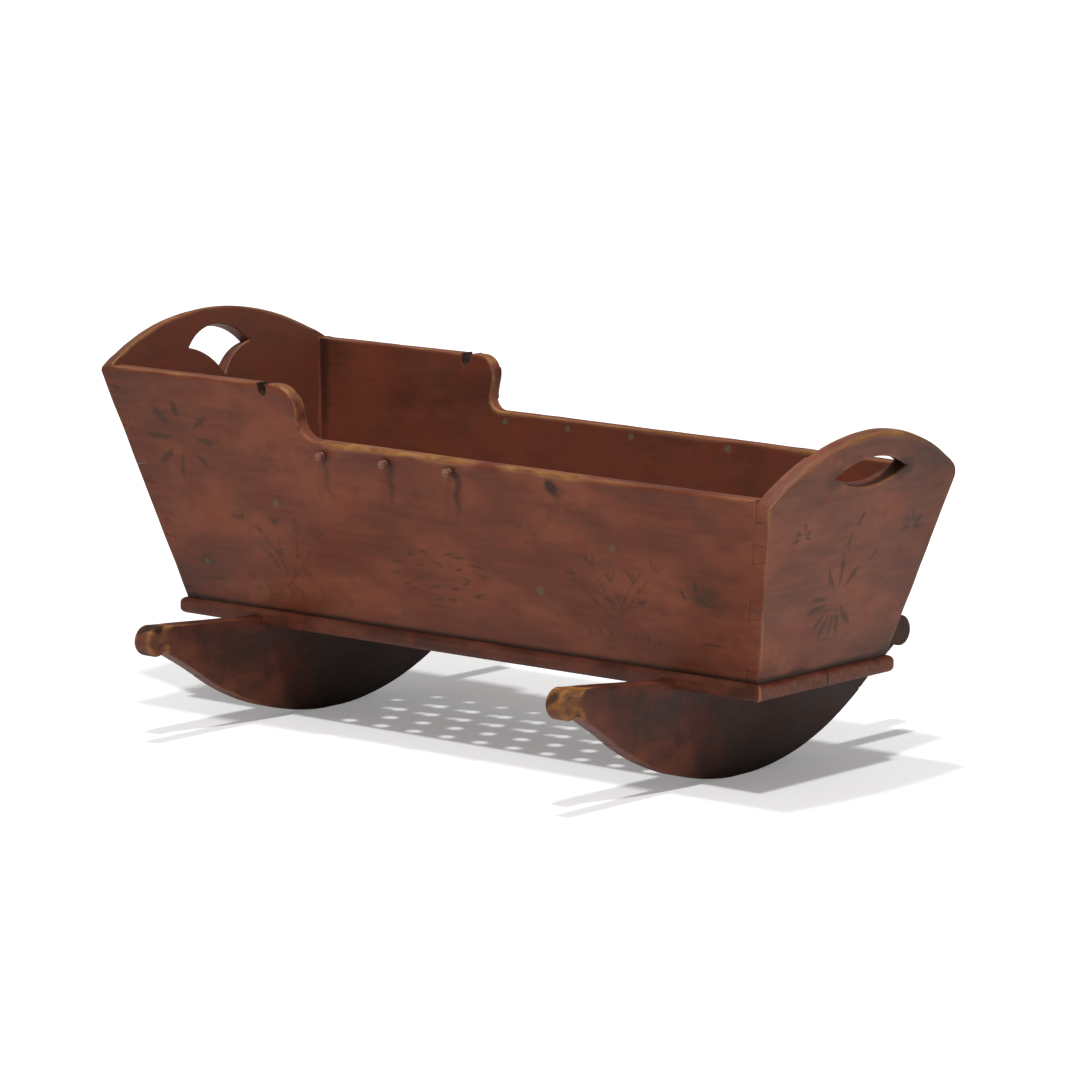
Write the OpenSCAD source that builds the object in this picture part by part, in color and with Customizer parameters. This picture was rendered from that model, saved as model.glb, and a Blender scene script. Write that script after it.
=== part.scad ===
// Rocking cradle in painted wood: a canted box joined by through dovetails,
// standing on a two-plank base that is housed over two scrolled rockers.
// X runs from head (-) to foot (+), Y from the near side (-) to the far side (+).
// Z is up from the floor, and the origin is the middle of the outer box at the floor.

/* [Box] */
// Length of the box along its bottom edge, outside
box_len = 880; // [760:5:960]
// Width of the box along its bottom edge, outside
box_w = 244; // [220:2:300]
// Thickness of the side and end boards
board_t = 19; // [14:0.5:24]
// Lean of the long sides away from upright, degrees
side_cant = 14.8; // [8:0.2:20]
// Lean of the head and foot boards away from upright, degrees
end_cant = 14.6; // [8:0.2:20]
// Height of the low rail above the deck, at the step
low_rail = 224; // [200:1:240]
// How far the low rail falls from the step to the foot
rail_fall = 4.5; // [0:0.5:8]
// Height of the head rail above the deck
head_rail = 288; // [275:1:320]

/* [Step in the sides] */
// Length of the high head part, from the head end of the bottom edge to the ear
head_part = 240; // [200:5:300]
// Radius of the rounded ear that ends the head part
ear_r = 28; // [16:1:30]
// Radius of the cove between the ear and the low rail
cove_r = 22; // [16:1:30]
// Distance of the notch's middle behind the front of the ear
notch_back = 47; // [44:1:60]
// Width of the notch
notch_w = 13; // [8:1:18]
// Depth of the notch
notch_deep = 15; // [9:1:18]

/* [End boards] */
// Height of the headboard's corners, up its outer face
head_corner = 291.5; // [282:0.5:297]
// Rise of the headboard's arch above its corners
head_rise = 57; // [40:1:80]
// Height of the footboard's corners, up its outer face
foot_corner = 220.5; // [214:0.5:226]
// Rise of the footboard's arch above its corners
foot_rise = 66; // [40:0.5:80]
// How far the footboard's arch and hand hole lie off the middle, to the far side
foot_aside = 4; // [0:0.5:8]
// Radius of the headboard's shoulders
head_shoulder = 9; // [5:1:20]
// Radius of the footboard's near shoulder
near_shoulder = 5; // [4:1:20]
// Radius of the footboard's far shoulder, which is worn rounder
far_shoulder = 22; // [5:1:22]
// Height of the top of the headboard's hand hole, up the outer face
grip_top = 326; // [320:1:330]
// Radius of the top of the headboard's hand hole
grip_r = 73; // [65:1:80]
// Radius of the two lobes that shape the bottom of that hole
lobe_r = 83; // [76:1:90]
// Distance of each lobe's centre from the middle of the board
lobe_y = 70; // [66:1:76]
// Drop from the top of the hole to the cusp between the lobes
cusp_drop = 62; // [55:1:70]
// Height of the middle of the footboard's hand hole, up the outer face
slot_mid = 241; // [230:1:245]
// Length of the footboard's hand hole
slot_len = 134; // [110:2:140]
// Height of the footboard's hand hole at its middle
slot_high = 36; // [32:1:42]

/* [Dovetails] */
// Height of the lowest pin's middle above the deck
pin_first = 88; // [60:1:100]
// Pitch of the pins up a corner
pin_pitch = 68; // [56:1:76]
// Height of a pin at the outer face of the end board
pin_narrow = 17; // [10:1:24]
// Height that a pin gains from the outer to the inner face
pin_flare = 8; // [4:1:12]
// Height of the half pin at the top of a corner, outside
top_pin = 24; // [22:1:34]
// Height of the half pin at the bottom of a corner, outside
bottom_pin = 13; // [10:1:20]
// Clearance on each side of a fitted piece
fit_gap = 0.1; // [0.05:0.05:0.3]

/* [Base] */
// Thickness of the base planks
base_t = 20; // [16:1:26]
// How far the base stands out beyond the box
base_lip = 6.5; // [4:0.5:12]
// Radius of the rounded edge of the base
base_round = 7; // [4:0.5:8]
// Open seam between the two planks
seam = 0.6; // [0.2:0.1:2]
// Depth of the housings that take the rockers
housing = 10; // [6:0.5:12]

/* [Vents] */
// Diameter of a vent hole
vent_d = 20; // [14:1:24]
// Pitch of the vents along a row
vent_pitch = 52; // [44:1:60]
// Pitch of the rows
vent_rows = 46; // [36:1:48]
// Vents in each of the two short rows
vent_count = 9; // [5:1:9]

/* [Rockers] */
// Height of the base's underside above the floor
stand_h = 118; // [105:1:130]
// Thickness of a rocker
rocker_t = 24; // [18:1:32]
// Distance from the foot end of the box's bottom to the middle of the foot rocker
foot_inset = 127; // [100:1:150]
// Distance from the head end of the box's bottom to the middle of the head rocker
head_inset = 119; // [100:1:150]
// Radius of the rocking edge
rock_r = 415; // [390:5:480]
// Width of the worn flat at the bottom of a rocker
worn_flat = 36; // [20:2:44]
// Half of the width over which the edge follows the rocking radius
belly_half = 228; // [190:2:236]
// Distance of the scrolls' centres from the middle of the head rocker
head_scroll_y = 309; // [300:0.5:330]
// Height of the head rocker's scroll centres above the floor
head_scroll_z = 122.5; // [120:0.5:132]
// Distance of the scrolls' centres from the middle of the foot rocker
foot_scroll_y = 312; // [300:0.5:330]
// Height of the foot rocker's scroll centres above the floor
foot_scroll_z = 127.5; // [120:0.5:132]
// Radius of the scroll at the end of a rocker
scroll_r = 18.5; // [15:0.5:20]
// Direction of the neck under the scroll, degrees round from the outside
neck_turn = 232; // [220:1:240]
// Radius of the hollow run between the belly and the neck
hollow_r = 900; // [500:50:1500]

/* [Pegs] */
// Diameter of a lacing peg in its hole
peg_d = 8; // [6:0.5:10]
// Distance of the pegs below the low rail, on the outer face
peg_below = 17; // [14:1:24]
// How far a peg stands out of the side
peg_out = 11; // [6:1:16]
// Diameter of a peg's knob
knob_d = 11.5; // [11:0.5:14]
// Places of the pegs along the box, from its middle
peg_1 = -168; // [-170:1:-140]
peg_2 = -69; // [-90:1:-50]
peg_3 = 30; // [10:1:50]
peg_4 = 177; // [160:1:200]

/* [Nails] */
// Diameter of a nail's shank
nail_d = 3; // [2:0.5:4]
// Diameter of a nail's head
nail_head_d = 7; // [6:0.5:9]
// Thickness of a nail's head
nail_head_t = 1.5; // [1:0.5:2.5]
// How far a nail reaches into the second piece
nail_grip = 32; // [20:1:40]
// Nails that hold each long side to the base
side_nails = 5; // [3:2:5]
// Distance of the outermost of those nails from the ends of the box's bottom
side_nail_inset = 60; // [40:1:70]
// Distance of the end boards' nails from the middle
end_nail_y = 52; // [30:1:80]
// Distance of a rocker's inner and outer nails from the middle
rocker_nail_in = 34; // [20:1:50]
rocker_nail_out = 88; // [70:1:92]

/* [Hidden] */
smooth = 96;
// Oversize of a cutting shape beyond what it cuts
over = 20;
// How far the curves of a rocker's outline run into each other
overlap = 0.3;
deck_z = stand_h + base_t;
seat_z = stand_h + housing;
half_len = box_len / 2;
half_w = box_w / 2;
base_half_len = half_len + base_lip;
base_half_w = half_w + base_lip;

foot_rail = low_rail - rail_fall;
head_peak = head_corner + head_rise;
foot_peak = foot_corner + foot_rise;

// Reach of each end board's top past the box's bottom, and the shift that
// puts the origin in the middle between them
head_reach = half_len + head_peak * sin(end_cant);
foot_reach = half_len + foot_peak * sin(end_cant);
mid_x = (head_reach - foot_reach) / 2;
cut_h = head_peak + over;

// Run of an end board's slanting edges for each step up its face, and their length
edge_lean = tan(side_cant) * cos(end_cant);
edge_slant = sqrt(1 + edge_lean * edge_lean);

// Horizontal thickness of a leaning board
side_run = board_t / cos(side_cant);
end_run = board_t / cos(end_cant);

peg_x = [peg_1, peg_2, peg_3, peg_4];
// Share of a peg's stand-out that is knob, and the knob's end radius over its diameter
knob_part = 0.6;
dome_part = 0.6;
peg_up = low_rail / cos(side_cant) - peg_below;
rocker_x = [head_inset - half_len, half_len - foot_inset];
scrolls = [[head_scroll_y, head_scroll_z], [foot_scroll_y, foot_scroll_z]];
// Whole lengths of the nails: through the base and into the second piece
side_nail_long = base_t / cos(side_cant) - nail_head_t + nail_grip;
end_nail_long = base_t / cos(end_cant) - nail_head_t + nail_grip;
rocker_nail_long = deck_z - seat_z + nail_grip;
// Long enough to pass through the whole box from outside
through = 2 * (box_len + cut_h);

// Half width of the box at a height above the deck, less an inset
function half_width_at(h, inset) = half_w + h * tan(side_cant) - inset;
function half_length_at(h, inset) = half_len + h * tan(end_cant) - inset;
// Radius of an arch from half its width and its rise
function arch_radius(half, rise) = (half * half + rise * rise) / (2 * rise);

// Space between the planes of the two long sides, moved inward by inset
module between_sides(inset) {
    rotate([90, 0, 90]) linear_extrude(through, center = true)
        translate([0, deck_z]) polygon([
            [-half_width_at(0, inset), 0], [half_width_at(0, inset), 0],
            [half_width_at(cut_h, inset), cut_h], [-half_width_at(cut_h, inset), cut_h]]);
}

// Space between the planes of the two ends, moved inward by inset
module between_ends(inset) {
    rotate([90, 0, 0]) linear_extrude(through, center = true)
        translate([0, deck_z]) polygon([
            [-half_length_at(0, inset), 0], [half_length_at(0, inset), 0],
            [half_length_at(cut_h, inset), cut_h], [-half_length_at(cut_h, inset), cut_h]]);
}

// Space between the outer and inner faces of the near side
module near_side_space() {
    rotate([90, 0, 90]) linear_extrude(through, center = true)
        translate([0, deck_z]) polygon([
            [-half_width_at(0, 0), 0], [-half_width_at(0, side_run), 0],
            [-half_width_at(cut_h, side_run), cut_h], [-half_width_at(cut_h, 0), cut_h]]);
}

// Runs an outline, drawn along X and up from the deck, right across the box
module across_box() {
    rotate([90, 0, 0]) linear_extrude(through, center = true)
        translate([0, deck_z]) children();
}

// Lays an outline, drawn along Y and up the face, onto the foot's outer face
module on_foot_end() {
    translate([half_len, 0, deck_z]) rotate([0, end_cant, 0]) rotate([90, 0, 90])
        translate([0, 0, -board_t]) linear_extrude(board_t) children();
}

// One pin of a corner, seen from the side: z is its middle height above the deck
module pin_shape(z, narrow, gap) {
    wide = narrow + pin_flare;
    polygon([
        [half_length_at(z - narrow / 2, -over), z - narrow / 2 - gap],
        [half_length_at(z + narrow / 2, -over), z + narrow / 2 + gap],
        [half_length_at(z + narrow / 2, 0), z + narrow / 2 + gap],
        [half_length_at(z + wide / 2, end_run + gap), z + wide / 2 + gap],
        [half_length_at(z - wide / 2, end_run + gap), z - wide / 2 - gap],
        [half_length_at(z - narrow / 2, 0), z - narrow / 2 - gap]]);
}

// The pins of a foot-end corner of the given height, run right across the box. The
// highest full pin leaves room for a short tail under the half pin at the top.
module pins(corner_h, gap) {
    room = corner_h - top_pin - pin_pitch / 2 - pin_first;
    rotate([90, 0, 0]) linear_extrude(through, center = true) translate([0, deck_z]) {
        for (i = [0:1:floor(room / pin_pitch)])
            pin_shape(pin_first + i * pin_pitch, pin_narrow, gap);
        pin_shape(0, 2 * bottom_pin, gap);
        pin_shape(corner_h + over, 2 * (top_pin + over), gap);
    }
}

// Outline of a side board, seen level from the side and drawn from the middle of the
// box's bottom edge, so that its top edges are level across. The head part ends in a
// round ear, with an upright front over the cove and a notch behind.
module side_outline() {
    head_x = -half_length_at(cut_h, 0);
    foot_x = half_length_at(cut_h, 0);
    front_x = head_part - half_len;
    ear = [front_x - ear_r, head_rail - ear_r];
    cove = [front_x + cove_r, low_rail + cove_r];
    notch_r = notch_w / 2;
    notch = [front_x - notch_back, head_rail - notch_deep + notch_r];
    difference() {
        union() {
            translate(ear) circle(r = ear_r, $fn = smooth);
            polygon([
                [head_x, -over], [foot_x, -over], [foot_x, foot_rail], [half_len, foot_rail],
                [cove[0], low_rail], cove, [front_x, cove[1]], [front_x, ear[1]],
                ear, [ear[0], head_rail], [head_x, head_rail]]);
        }
        translate(cove) circle(r = cove_r, $fn = smooth);
        translate(notch) circle(r = notch_r, $fn = smooth);
        translate(notch - [notch_r, 0]) square([notch_w, notch_deep]);
    }
}

// A side board in the near side's place, with sockets for the pins of both ends
module side_board() {
    difference() {
        intersection() {
            across_box() side_outline();
            near_side_space();
            between_ends(0);
        }
        pins(foot_rail, fit_gap);
        mirror([1, 0, 0]) pins(head_rail, fit_gap);
        for (x = peg_x) at_peg(x)
            cylinder(d = peg_d + 2 * fit_gap, h = 2 * (board_t + over),
                     center = true, $fn = smooth);
        at_side_nails() nail_hole(side_nail_long);
    }
}

module side_near() {
    color("sienna") in_place() side_board();
}

module side_far() {
    color("sienna") in_place() far_copy() side_board();
}

// Frame of a peg: the origin is where its axis meets the near side's outer face,
// and Z points out of the box
module at_peg(x) {
    translate([x, -half_w, deck_z]) rotate([side_cant, 0, 0]) rotate([90, 0, 0])
        translate([0, peg_up, 0]) children();
}

// A whittled peg: a round shank, flush inside, with a blunt knob outside
module peg() {
    knob_long = knob_part * peg_out;
    dome = dome_part * knob_d;
    translate([0, 0, -board_t]) cylinder(d = peg_d, h = board_t + peg_out / 2, $fn = smooth);
    translate([0, 0, peg_out - knob_long]) intersection() {
        cylinder(d = knob_d, h = knob_long, $fn = smooth);
        translate([0, 0, knob_long - dome]) sphere(r = dome, $fn = smooth);
    }
}

module peg_near(i) {
    color("peru") in_place() at_peg(peg_x[i]) peg();
}

module peg_far(i) {
    color("peru") in_place() far_copy() at_peg(peg_x[i]) peg();
}

// The last near peg has broken off flush with both faces of the side
module peg_stub() {
    color("saddlebrown") in_place() at_peg(peg_4)
        translate([0, 0, -board_t]) cylinder(d = peg_d, h = board_t, $fn = smooth);
}

// What a shoulder of the given radius takes off the far corner of an end board, whose
// arch has its centre at [aside, centre]. Its circle touches the arch inside and the
// slanting edge.
module shoulder_waste(r, aside, centre, radius) {
    a = half_w - r * edge_slant - aside;
    b = a * edge_lean - centre;
    reach = radius - r;
    c = a * a + centre * centre - reach * reach;
    up = (sqrt(b * b - edge_slant * edge_slant * c) - b) / (edge_slant * edge_slant);
    mid = [a + edge_lean * up, up];
    edge = mid + [r, -r * edge_lean] / edge_slant;
    beyond = [mid[0], up - centre] * (radius + over) / reach + [0, centre];
    translate([aside, 0]) difference() {
        polygon([mid, edge, edge + [over, over], beyond]);
        translate(mid) circle(r = r, $fn = smooth);
    }
}

// Outline of an end board: an arch over two rounded shoulders, as wide as the box
module end_outline(corner, rise, aside, near_r, far_r) {
    peak = corner + rise;
    radius = arch_radius(half_w + edge_lean * corner, rise);
    centre = peak - radius;
    difference() {
        intersection() {
            polygon([
                [-half_w + edge_lean * over, -over], [half_w - edge_lean * over, -over],
                [half_w + edge_lean * peak, peak], [-half_w - edge_lean * peak, peak]]);
            translate([aside, centre]) circle(r = radius, $fn = 2 * smooth);
        }
        shoulder_waste(far_r, aside, centre, radius);
        mirror([1, 0]) shoulder_waste(near_r, -aside, centre, radius);
    }
}

// The headboard's hand hole: a round top over two lobes that meet in a cusp
module head_grip() {
    lobe_up = grip_top - cusp_drop - sqrt(lobe_r * lobe_r - lobe_y * lobe_y);
    difference() {
        translate([0, grip_top - grip_r]) circle(r = grip_r, $fn = smooth);
        for (m = [-1, 1]) translate([m * lobe_y, lobe_up]) circle(r = lobe_r, $fn = smooth);
    }
}

// The footboard's hand hole: a pointed oval between two arcs
module foot_grip() {
    radius = arch_radius(slot_len / 2, slot_high / 2);
    drop = radius - slot_high / 2;
    translate([foot_aside, slot_mid]) intersection() {
        translate([0, -drop]) circle(r = radius, $fn = smooth);
        translate([0, drop]) circle(r = radius, $fn = smooth);
    }
}

// An end board at the foot end: the outline given as a child, joined by pins
module end_board(corner_h) {
    difference() {
        intersection() {
            on_foot_end() children();
            between_sides(0);
            union() {
                between_sides(side_run);
                pins(corner_h, 0);
            }
        }
        at_end_nails() nail_hole(end_nail_long);
    }
}

module headboard() {
    color("sienna") in_place() mirror([1, 0, 0]) end_board(head_rail) difference() {
        end_outline(head_corner, head_rise, 0, head_shoulder, head_shoulder);
        head_grip();
    }
}

module footboard() {
    color("sienna") in_place() end_board(foot_rail) difference() {
        end_outline(foot_corner, foot_rise, foot_aside, near_shoulder, far_shoulder);
        foot_grip();
    }
}

// Section of the base: a board with its long edges rounded
module base_section(half_wide) {
    r = base_round;
    translate([-half_wide + r, stand_h]) square([2 * (half_wide - r), base_t]);
    translate([-half_wide, stand_h + r]) square([2 * half_wide, base_t - 2 * r]);
    for (y = [-half_wide + r, half_wide - r]) for (z = [stand_h + r, deck_z - r])
        translate([y, z]) circle(r = r, $fn = smooth);
}

// Four staggered rows of vents: every second row has one more, half a pitch aside
module vents() {
    for (row = [0:1:3]) {
        last = vent_count - row % 2;
        for (i = [0:1:last])
            translate([(i - last / 2) * vent_pitch, (row - 1.5) * vent_rows, stand_h - over])
                cylinder(d = vent_d, h = base_t + 2 * over, $fn = smooth);
    }
}

// One plank of the base: side is -1 for the near one and 1 for the far one. The
// housings for both rockers run right across its underside.
module base_plank(side) {
    difference() {
        intersection() {
            rotate([90, 0, 90]) linear_extrude(through, center = true)
                base_section(base_half_w);
            rotate([90, 0, 0]) linear_extrude(through, center = true)
                base_section(base_half_len);
            translate([0, side * (through + seam) / 2, stand_h + base_t / 2])
                cube([through, through, base_t + over], center = true);
        }
        vents();
        for (x = rocker_x) {
            translate([x, 0, 0])
                cube([rocker_t + 2 * fit_gap, through, 2 * seat_z], center = true);
            at_rocker_nails(x) nail_hole(rocker_nail_long);
        }
        for (m = [0, 1]) {
            mirror([0, m, 0]) at_side_nails() nail_hole(side_nail_long);
            mirror([m, 0, 0]) at_end_nails() nail_hole(end_nail_long);
        }
    }
}

module base_plank_near() {
    color("brown") in_place() base_plank(-1);
}

module base_plank_far() {
    color("brown") in_place() base_plank(1);
}

// A rocker drawn across the box: a round belly, and on each side an arm that runs
// straight along its top and hollow along its bottom to a scroll at the given place
module rocker_body(scroll) {
    rock_z = sqrt(rock_r * rock_r - worn_flat * worn_flat / 4);
    belly_z = rock_z - sqrt(rock_r * rock_r - belly_half * belly_half);
    neck = scroll + scroll_r * [cos(neck_turn), sin(neck_turn)];
    belly = [belly_half, belly_z];
    // The top of the arm runs out into the top of the scroll
    start = [base_half_w, seat_z];
    away = norm(scroll - start);
    reach = scroll_r - overlap;
    climb = atan2(scroll[1] - start[1], scroll[0] - start[0]) + asin(reach / away);
    touch = start + sqrt(away * away - reach * reach) * [cos(climb), sin(climb)];
    // The hollow's circle passes just over the belly's end and the neck
    chord = neck - belly;
    across = [chord[1], -chord[0]] / norm(chord);
    drop = sqrt(pow(hollow_r, 2) - pow(norm(chord) / 2, 2)) - overlap;
    hollow = (neck + belly) / 2 + across * drop;
    linear_extrude(rocker_t) intersection() {
        translate([-belly_half, 0]) square([2 * belly_half, seat_z]);
        translate([0, rock_z]) circle(r = rock_r, $fn = smooth);
    }
    for (m = [0, 1]) mirror([m, 0, 0]) {
        translate(scroll) cylinder(r = scroll_r, h = rocker_t, $fn = smooth);
        linear_extrude(rocker_t) difference() {
            polygon([[0, seat_z], start, touch, scroll, neck, belly, [0, belly_z]]);
            translate(hollow) circle(r = hollow_r, $fn = 2 * smooth);
        }
    }
}

module rocker(x, scroll) {
    color("saddlebrown") in_place() difference() {
        translate([x - rocker_t / 2, 0, 0]) rotate([90, 0, 90]) rocker_body(scroll);
        at_rocker_nails(x) nail_hole(rocker_nail_long);
    }
}

// A nail with its head at the origin, pointing up
module nail(long) {
    cylinder(d = nail_d, h = long, $fn = smooth);
    cylinder(d = nail_head_d, h = nail_head_t, $fn = smooth);
}

// The hole of such a nail, open behind its head
module nail_hole(long) {
    cylinder(d = nail_d + 2 * fit_gap, h = long + fit_gap, $fn = smooth);
    translate([0, 0, -over])
        cylinder(d = nail_head_d + 2 * fit_gap, h = over + nail_head_t, $fn = smooth);
}

// The near side's nails run up the middle of its thickness from under the base,
// with their heads sunk by their own thickness
module at_side_nails() {
    pitch = (box_len - 2 * side_nail_inset) / (side_nails - 1);
    for (i = [0:1:side_nails - 1])
        translate([side_nail_inset - half_len + i * pitch, side_run / 2 - half_w, deck_z])
            rotate([side_cant, 0, 0]) translate([0, 0, nail_grip - side_nail_long])
                children();
}

// The foot end's nails, one in each plank
module at_end_nails() {
    for (y = [-end_nail_y, end_nail_y])
        translate([half_len - end_run / 2, y, deck_z])
            rotate([0, end_cant, 0]) translate([0, 0, nail_grip - end_nail_long]) children();
}

// A rocker's nails go down through the planks, with their heads flush in the deck
module at_rocker_nails(x) {
    for (y = [-rocker_nail_out, -rocker_nail_in, rocker_nail_in, rocker_nail_out])
        translate([x, y, deck_z]) mirror([0, 0, 1]) children();
}

module nails_side() {
    color("dimgray") in_place() at_side_nails() nail(side_nail_long);
}

module nails_side_far() {
    color("dimgray") in_place() far_copy() at_side_nails() nail(side_nail_long);
}

module nails_footboard() {
    color("dimgray") in_place() at_end_nails() nail(end_nail_long);
}

module nails_headboard() {
    color("dimgray") in_place() mirror([1, 0, 0]) at_end_nails() nail(end_nail_long);
}

module nails_rocker(x) {
    color("dimgray") in_place() at_rocker_nails(x) nail(rocker_nail_long);
}

// Moves a solid from the middle of the box's bottom to the cradle's origin
module in_place() {
    translate([mid_x, 0, 0]) children();
}

module far_copy() {
    mirror([0, 1, 0]) children();
}

side_near();
side_far();
headboard();
footboard();
base_plank_near();
base_plank_far();
rocker(rocker_x[0], scrolls[0]);  // rocker_head
rocker(rocker_x[1], scrolls[1]);  // rocker_foot
peg_near(0);  // peg_near_1
peg_near(1);  // peg_near_2
peg_near(2);  // peg_near_3
peg_stub();  // peg_near_4_stub
peg_far(0);  // peg_far_1
peg_far(1);  // peg_far_2
peg_far(2);  // peg_far_3
peg_far(3);  // peg_far_4
nails_side();  // nails_side_near
nails_side_far();
nails_headboard();
nails_footboard();
nails_rocker(rocker_x[0]);  // nails_rocker_head
nails_rocker(rocker_x[1]);  // nails_rocker_foot
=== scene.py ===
"""Looks of the rocking cradle: worn boards with old paint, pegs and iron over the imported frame."""
import math

import bmesh
import bpy
import numpy as np
from mathutils import Matrix, Vector
from mathutils.bvhtree import BVHTree


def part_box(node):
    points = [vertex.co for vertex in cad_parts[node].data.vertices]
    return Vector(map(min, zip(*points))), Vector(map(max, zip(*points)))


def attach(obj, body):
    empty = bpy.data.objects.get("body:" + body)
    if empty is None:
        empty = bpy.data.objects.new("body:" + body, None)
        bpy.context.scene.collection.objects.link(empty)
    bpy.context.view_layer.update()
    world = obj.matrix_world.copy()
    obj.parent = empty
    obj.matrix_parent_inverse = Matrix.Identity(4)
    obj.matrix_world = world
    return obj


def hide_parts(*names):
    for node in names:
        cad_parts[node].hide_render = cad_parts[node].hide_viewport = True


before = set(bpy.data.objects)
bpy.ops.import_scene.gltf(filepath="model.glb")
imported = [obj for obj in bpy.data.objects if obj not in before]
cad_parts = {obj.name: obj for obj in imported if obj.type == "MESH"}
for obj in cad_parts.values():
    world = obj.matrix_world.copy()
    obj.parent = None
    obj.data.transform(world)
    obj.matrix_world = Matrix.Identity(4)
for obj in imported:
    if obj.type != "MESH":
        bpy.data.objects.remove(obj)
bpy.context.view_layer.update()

SIDES = ("side_near", "side_far")
ENDS = ("headboard", "footboard")
PLANKS = ("base_plank_near", "base_plank_far")
ROCKERS = ("rocker_head", "rocker_foot")

# Sizes of the part that the looks share, in metres and radians

SIDE_CANT = math.radians(14.8)
END_CANT = math.radians(14.6)
DECK = 0.138
BOX_MIDDLE = 0.00781
HALF_LENGTH = 0.440
HALF_WIDTH = 0.122
BOARD_THICK = 0.019
PEG_PLACES = (-0.1602, -0.0612, 0.0378, 0.1848)
PEG_UP = 0.2147
SCROLL_OUT = 0.292
NOTCH_PLACE = -0.2392
COVE_START = NOTCH_PLACE + 0.010
COVE_FULL = NOTCH_PLACE + 0.016
CORNER_TOPS = {"headboard": 0.4255, "footboard": 0.3575}

# How finely the meshes are cut and the arrises followed, in metres

CUT_SPACING = 0.0175
PEG_SPACING = 0.0016
SHORTEST = 0.0024
SAMPLE_STEP = 0.002
PROBE = 0.0010
SLACK = 0.002
SAME_PLACE = 1e-6
ON_PLANE = 1e-7
FLATNESS = 1e-9
TINY = 1e-12

# Each piece has its own directions: u along its grain, v across it, w out through its face.


class Board:
    def __init__(self, u, v, w, origin):
        self.axes, self.origin = np.array([u, v, w], float), np.array(origin, float)

    def places(self, points):
        """Where points lie on the board: its outer face is at w = 0."""
        return (points - self.origin) @ self.axes.T


def board_of(node):
    if node in SIDES:
        side = -1 if node == "side_near" else 1
        return Board((1, 0, 0), (0, side * math.sin(SIDE_CANT), math.cos(SIDE_CANT)),
                     (0, side * math.cos(SIDE_CANT), -math.sin(SIDE_CANT)),
                     (0, side * HALF_WIDTH, DECK))
    if node in ENDS:
        end = -1 if node == "headboard" else 1
        return Board((0, 1, 0), (end * math.sin(END_CANT), 0, math.cos(END_CANT)),
                     (end * math.cos(END_CANT), 0, -math.sin(END_CANT)),
                     (BOX_MIDDLE + end * HALF_LENGTH, 0, DECK))
    if node in ROCKERS:
        low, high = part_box(node)
        return Board((0, 1, 0), (0, 0, 1), (1, 0, 0), ((low[0] + high[0]) / 2, 0, 0))
    return Board((1, 0, 0), (0, 1, 0), (0, 0, 1), (0, 0, DECK))


def neighbours(node):
    """The boards that a side or an end is dovetailed to."""
    if node in SIDES:
        return ENDS
    return SIDES if node in ENDS else ()


class Surface:
    """The points of one worn piece, with what its wear, dirt, painted shade and paint depend on."""

    def __init__(self, node, board, points, near_edge=None, facing=None):
        self.node, self.points, self.near_edge, self.facing = node, points, near_edge, facing
        self.place = board.places(points)
        self.u, self.v, self.w = self.place.T
        self.outward = None if facing is None else facing @ board.axes[2]
        behind = BOX_MIDDLE - HALF_LENGTH + BOARD_THICK / math.cos(END_CANT)
        self.from_head = points[:, 0] - behind + (points[:, 2] - DECK) * math.tan(END_CANT)


# Smooth noise made from sines, the same at every run

WAVE_COUNT = 7
WAVE_LENGTHS = (0.7, 1.6)


def waves(points, length, seed):
    """A smooth value near -1 to 1 at each point, with swells about as long as length."""
    chance = np.random.default_rng(seed)
    total = np.zeros(len(points))
    for _ in range(WAVE_COUNT):
        direction = chance.normal(size=3)
        direction /= np.linalg.norm(direction)
        pitch = 2 * math.pi / (length * chance.uniform(*WAVE_LENGTHS))
        total += np.sin(points @ direction * pitch + chance.uniform(0, 2 * math.pi))
    return total / math.sqrt(WAVE_COUNT)


def ramp(value, low, high):
    """A smooth step from 0 at low to 1 at high, which may be the lower of the two."""
    part = np.clip((value - low) / (high - low), 0, 1)
    return part * part * (3 - 2 * part)


def dots(first, second):
    """The dot product of each row of one array with the same row of another."""
    return np.einsum("ij,ij->i", first, second)


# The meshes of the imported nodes, cut finely enough to wear their edges round

FLAT_ANGLE = math.radians(0.2)
LONGEST_ROUNDS = 6


def cut_mesh(source, spacing):
    """Points and triangles of a node's mesh, cut by planes that lie about spacing apart."""
    shape = bmesh.new()
    shape.from_mesh(source)
    bmesh.ops.remove_doubles(shape, verts=shape.verts, dist=SAME_PLACE)
    bmesh.ops.dissolve_limit(shape, angle_limit=FLAT_ANGLE, use_dissolve_boundaries=False,
                             verts=shape.verts, edges=shape.edges)
    corners = np.array([v.co for v in shape.verts])
    low, high = corners.min(0), corners.max(0)
    for axis in range(3):
        normal = Vector((axis == 0, axis == 1, axis == 2))
        count = int((high[axis] - low[axis]) // spacing)
        for i in range(1, count + 1):
            place = normal * float(low[axis] + (high[axis] - low[axis]) * i / (count + 1))
            bmesh.ops.bisect_plane(shape, geom=shape.verts[:] + shape.edges[:] + shape.faces[:],
                                   dist=ON_PLANE, plane_co=place, plane_no=normal)
    bmesh.ops.triangulate(shape, faces=shape.faces[:])
    shape.verts.ensure_lookup_table()
    points = np.array([v.co for v in shape.verts])
    triangles = np.array([[v.index for v in f.verts] for f in shape.faces])
    shape.free()
    return points, triangles


def mesh_edges(triangles):
    """Edges as pairs of points, and the three edges of each triangle."""
    pairs = np.sort(triangles[:, [[0, 1], [1, 2], [2, 0]]].reshape(-1, 2), axis=1)
    pairs = pairs.astype(np.int64)
    count = int(triangles.max()) + 1
    keys, which = np.unique(pairs[:, 0] * count + pairs[:, 1], return_inverse=True)
    return np.stack([keys // count, keys % count], 1), which.reshape(-1, 3)


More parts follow.
